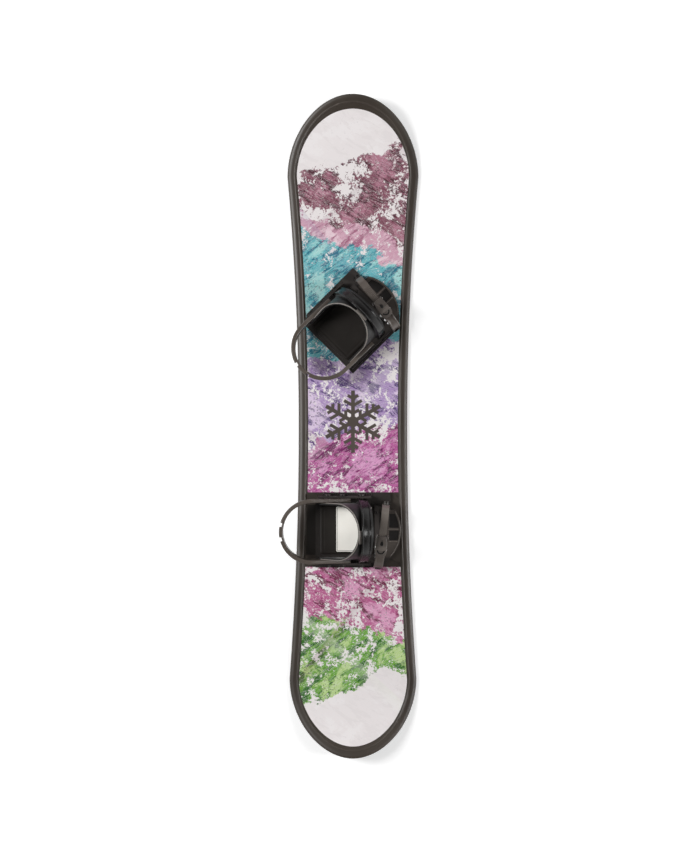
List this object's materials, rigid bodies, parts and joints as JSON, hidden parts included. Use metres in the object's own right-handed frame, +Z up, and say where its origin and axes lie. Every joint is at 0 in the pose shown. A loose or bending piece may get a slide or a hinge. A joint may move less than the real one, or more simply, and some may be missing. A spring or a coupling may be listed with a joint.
{
  "type": "snowboard",
  "caption": "Short snowboard with a raised rail, printed deck and turned-up ends, carrying two strap bindings with heel hoops, ankle straps and ratchet toe straps.",
  "frame": {"origin": "on the flat running base, on the board's centreline, midway between nose tip and tail tip", "axes": "+Y towards the nose, +X towards the toe side, +Z up from the running base"},
  "size_m": [0.2316, 1.1, 0.0968],
  "materials": {
    "base_plastic": "waxed polyethylene",
    "core_wood": "bare poplar",
    "deck_plastic": "semi-gloss moulded",
    "graphic_film": "glossy printed film",
    "steel": "zinc plated",
    "black_steel": "blackened",
    "label_film": "matt white film",
    "binding_plastic": "semi-gloss moulded nylon",
    "disc_plastic": "semi-gloss moulded nylon",
    "footbed_foam": "smooth foam",
    "grip_rubber": "ribbed rubber",
    "hoop_plastic": "glossy moulded nylon",
    "pad_foam": "moulded soft plastic",
    "clip_plastic": "satin grey",
    "strap_gloss": "high gloss",
    "strap_plastic": "glossy flexible plastic",
    "buckle_plastic": "semi-gloss moulded nylon"
  },
  "bodies": {
    "board": {"running_base": "base_plastic", "core": "core_wood", "deck_shell": "deck_plastic", "graphic_sheet": "graphic_film", "insert_nuts": "steel", "front_mounting_disc": "disc_plastic", "front_disc_screws": "steel", "rear_mounting_disc": "disc_plastic", "rear_disc_screws": "steel"},
    "front_plate": {"front_base_plate": "binding_plastic", "front_footbed": "footbed_foam", "front_toe_ramp": "binding_plastic", "front_toe_pads": "grip_rubber", "front_toe_bar_screws": "steel", "front_ankle_bolts": "black_steel", "front_toe_strap_bolts": "black_steel"},
    "front_hoop": {"front_heel_hoop": "hoop_plastic", "front_hoop_bolts": "black_steel"},
    "front_ankle": {"front_ankle_strap": "strap_gloss", "front_ankle_pad": "pad_foam", "front_pad_clip": "clip_plastic"},
    "front_toe": {"front_toe_strap": "strap_plastic", "front_ladder_strap": "strap_plastic", "front_buckle_frame": "buckle_plastic", "front_buckle_pins": "steel"},
    "front_lever": {"front_buckle_lever": "buckle_plastic"},
    "front_pawl": {"front_buckle_pawl": "steel"},
    "rear_plate": {"rear_base_plate": "binding_plastic", "rear_footbed": "footbed_foam", "rear_toe_ramp": "binding_plastic", "rear_toe_pads": "grip_rubber", "rear_toe_bar_screws": "steel", "rear_ankle_bolts": "black_steel", "rear_toe_strap_bolts": "black_steel", "rear_label": "label_film"},
    "rear_hoop": {"rear_heel_hoop": "hoop_plastic", "rear_hoop_bolts": "black_steel"},
    "rear_ankle": {"rear_ankle_strap": "strap_gloss", "rear_ankle_pad": "pad_foam", "rear_pad_clip": "clip_plastic"},
    "rear_toe": {"rear_toe_strap": "strap_plastic", "rear_ladder_strap": "strap_plastic", "rear_buckle_frame": "buckle_plastic", "rear_buckle_pins": "steel"},
    "rear_lever": {"rear_buckle_lever": "buckle_plastic"},
    "rear_pawl": {"rear_buckle_pawl": "steel"}
  },
  "joints": [
    {"name": "front_stance_turn", "type": "hinge", "parent": "board", "child": "front_plate", "pos_m": [0, 0.177, 0.0085], "axis": [0, 0, 1], "range_deg": [-45, 15]},
    {"name": "front_hoop_slide", "type": "slide", "parent": "front_plate", "child": "front_hoop", "axis": [0.7071, 0.7071, 0], "range_m": [-0.006, 0.006]},
    {"name": "front_ankle_swing", "type": "hinge", "parent": "front_plate", "child": "front_ankle", "pos_m": [0.0099, 0.1869, 0.0255], "axis": [-0.7071, 0.7071, 0], "range_deg": [-5, 6]},
    {"name": "front_toe_strap_swing", "type": "hinge", "parent": "front_plate", "child": "front_toe", "pos_m": [0.04066, 0.20422, 0.022], "axis": [-0.6115, 0.7912, 0], "range_deg": [-5, 20]},
    {"name": "front_lever_lift", "type": "hinge", "parent": "front_toe", "child": "front_lever", "pos_m": [0.04035, 0.20462, 0.0605], "axis": [-0.7912, -0.6115, 0], "range_deg": [0, 55]},
    {"name": "front_pawl_release", "type": "hinge", "parent": "front_toe", "child": "front_pawl", "pos_m": [0.05258, 0.18879, 0.0605], "axis": [0.7912, 0.6115, 0], "range_deg": [0, 12]},
    {"name": "rear_stance_turn", "type": "hinge", "parent": "board", "child": "rear_plate", "pos_m": [0, -0.173, 0.0085], "axis": [0, 0, 1], "range_deg": [-15, 30]},
    {"name": "rear_hoop_slide", "type": "slide", "parent": "rear_plate", "child": "rear_hoop", "axis": [1, 0, 0], "range_m": [-0.006, 0.006]},
    {"name": "rear_ankle_swing", "type": "hinge", "parent": "rear_plate", "child": "rear_ankle", "pos_m": [0.014, -0.173, 0.0255], "axis": [0, 1, 0], "range_deg": [-5, 6]},
    {"name": "rear_toe_strap_swing", "type": "hinge", "parent": "rear_plate", "child": "rear_toe", "pos_m": [0.048, -0.1825, 0.022], "axis": [0.1271, 0.9919, 0], "range_deg": [-5, 20]},
    {"name": "rear_lever_lift", "type": "hinge", "parent": "rear_toe", "child": "rear_lever", "pos_m": [0.04806, -0.182, 0.0605], "axis": [-0.9919, 0.1271, 0], "range_deg": [0, 55]},
    {"name": "rear_pawl_release", "type": "hinge", "parent": "rear_toe", "child": "rear_pawl", "pos_m": [0.04552, -0.20184, 0.0605], "axis": [0.9919, -0.1271, 0], "range_deg": [0, 12]}
  ]
}
